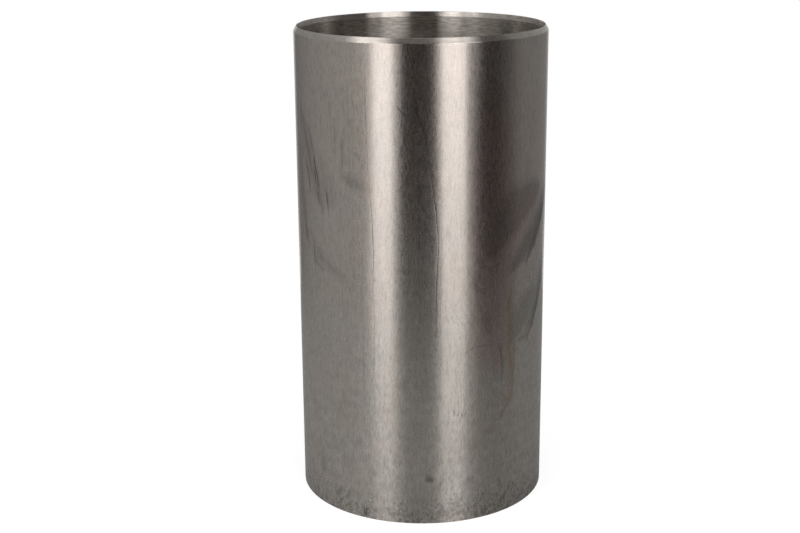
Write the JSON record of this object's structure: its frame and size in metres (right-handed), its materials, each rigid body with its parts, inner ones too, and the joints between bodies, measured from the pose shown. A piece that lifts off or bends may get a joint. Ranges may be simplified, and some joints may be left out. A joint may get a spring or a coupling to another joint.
{
  "type": "cylinder liner",
  "caption": "Plain dry cylinder liner: a thin ground iron sleeve, open at both ends, with a lead-in cone at its upper end for pressing into an engine block.",
  "frame": {"origin": "centre of the plain end's flat face, on which the liner stands", "axes": "+Z along the axis of the bore, towards the lead-in end; +X and +Y are free, because the liner is round"},
  "size_m": [0.1036, 0.1036, 0.1976],
  "materials": {
    "ground_iron": "satin"
  },
  "bodies": {
    "root": {"liner": "ground_iron"}
  },
  "joints": []
}
